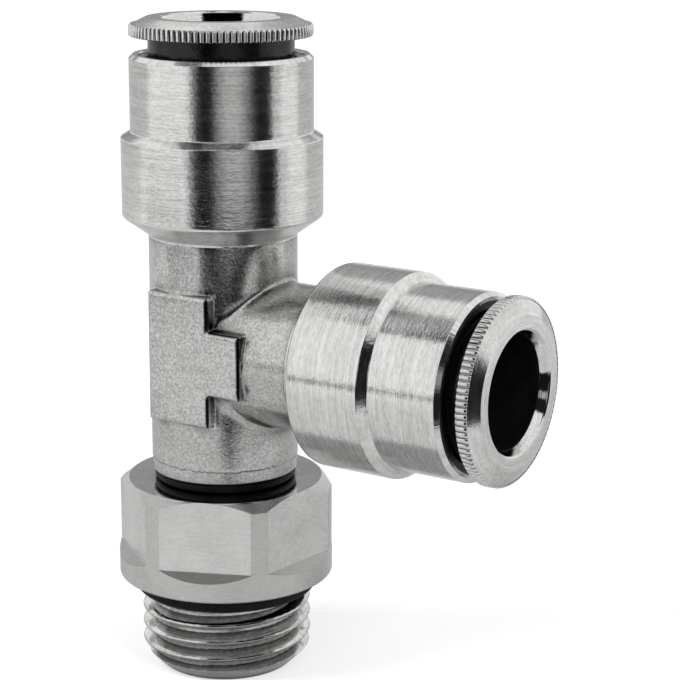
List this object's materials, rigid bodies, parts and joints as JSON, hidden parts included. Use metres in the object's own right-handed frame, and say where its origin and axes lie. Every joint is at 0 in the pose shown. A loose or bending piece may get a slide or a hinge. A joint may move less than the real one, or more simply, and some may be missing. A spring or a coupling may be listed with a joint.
{
  "type": "push-in tee fitting",
  "caption": "Swivel tee fitting with a threaded stud and hexagon at the foot, and push-in tube ports with knurled release rings on the run and the branch.",
  "frame": {"origin": "on the thread axis, at the seating face under the hexagon", "axes": "+Z from the thread towards the run's tube port, +X out of the branch"},
  "size_m": [0.034, 0.0166, 0.0504],
  "materials": {
    "forged_nickel": "nickel plated, forged and blasted, with turned collars",
    "turned_nickel": "nickel plated, turned bright",
    "black_polymer": "moulded, glossy",
    "bare_brass": "turned, bare",
    "spring_steel": "drawn wire",
    "black_rubber": "moulded, satin"
  },
  "bodies": {
    "stud": {"male_stud": "turned_nickel", "seat_seal": "black_rubber", "wiper_ring": "black_rubber", "swivel_seal": "black_rubber"},
    "tee": {"tee_body": "forged_nickel", "retaining_clip": "spring_steel", "run_cone_ring": "black_polymer", "run_support_washer": "bare_brass", "run_tube_seal": "black_rubber", "branch_cone_ring": "black_polymer", "branch_support_washer": "bare_brass", "branch_tube_seal": "black_rubber"},
    "run_release_ring": {"run_push_ring": "turned_nickel", "run_collet": "black_polymer"},
    "branch_release_ring": {"branch_push_ring": "turned_nickel", "branch_collet": "black_polymer"}
  },
  "joints": [
    {"name": "swivel", "type": "hinge", "parent": "stud", "child": "tee", "pos_m": [0, 0, 0.00844], "axis": [0, 0, 1], "continuous": true},
    {"name": "run_release", "type": "slide", "parent": "tee", "child": "run_release_ring", "axis": [0, 0, -1], "range_m": [0, 0.0012]},
    {"name": "branch_release", "type": "slide", "parent": "tee", "child": "branch_release_ring", "axis": [-1, 0, 0], "range_m": [0, 0.0012]}
  ]
}
